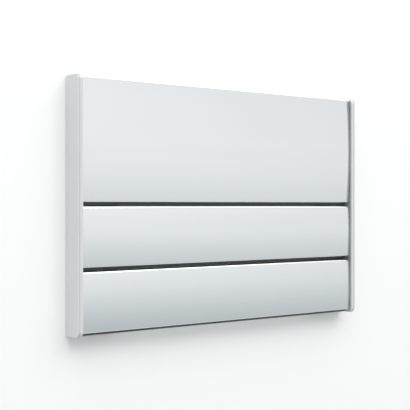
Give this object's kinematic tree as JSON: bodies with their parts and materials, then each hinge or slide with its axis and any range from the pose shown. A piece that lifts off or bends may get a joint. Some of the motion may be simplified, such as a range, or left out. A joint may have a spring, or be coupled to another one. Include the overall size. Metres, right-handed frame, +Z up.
{
  "type": "modular door sign",
  "caption": "Wall-mounted modular door sign: blank crowned aluminium slats, divided by fine dark grooves, snapped onto hidden wall rails and closed by moulded end caps.",
  "frame": {"origin": "on the wall plane, at the centre of the rectangle of four wall screw holes, which is also the centre of the sign seen from the front", "axes": "+X to the right along the slats, +Y into the wall, +Z up; the slats face -Y"},
  "size_m": [0.15, 0.0095, 0.1],
  "materials": {
    "anodised_slat": "satin silver anodised, with a dark grey lacquered lip in the groove",
    "cap_plastic": "fine moulded texture, light grey",
    "mill_rail": "mill finish, as extruded",
    "clip_plastic": "natural acetal, smooth"
  },
  "bodies": {
    "root": {"tall_slat": "anodised_slat", "middle_slat": "anodised_slat", "bottom_slat": "anodised_slat", "left_cap": "cap_plastic", "right_cap": "cap_plastic", "left_rail": "mill_rail", "right_rail": "mill_rail", "left_clip_1": "clip_plastic", "left_clip_2": "clip_plastic", "left_clip_3": "clip_plastic", "left_clip_4": "clip_plastic", "right_clip_1": "clip_plastic", "right_clip_2": "clip_plastic", "right_clip_3": "clip_plastic", "right_clip_4": "clip_plastic"}
  },
  "joints": []
}
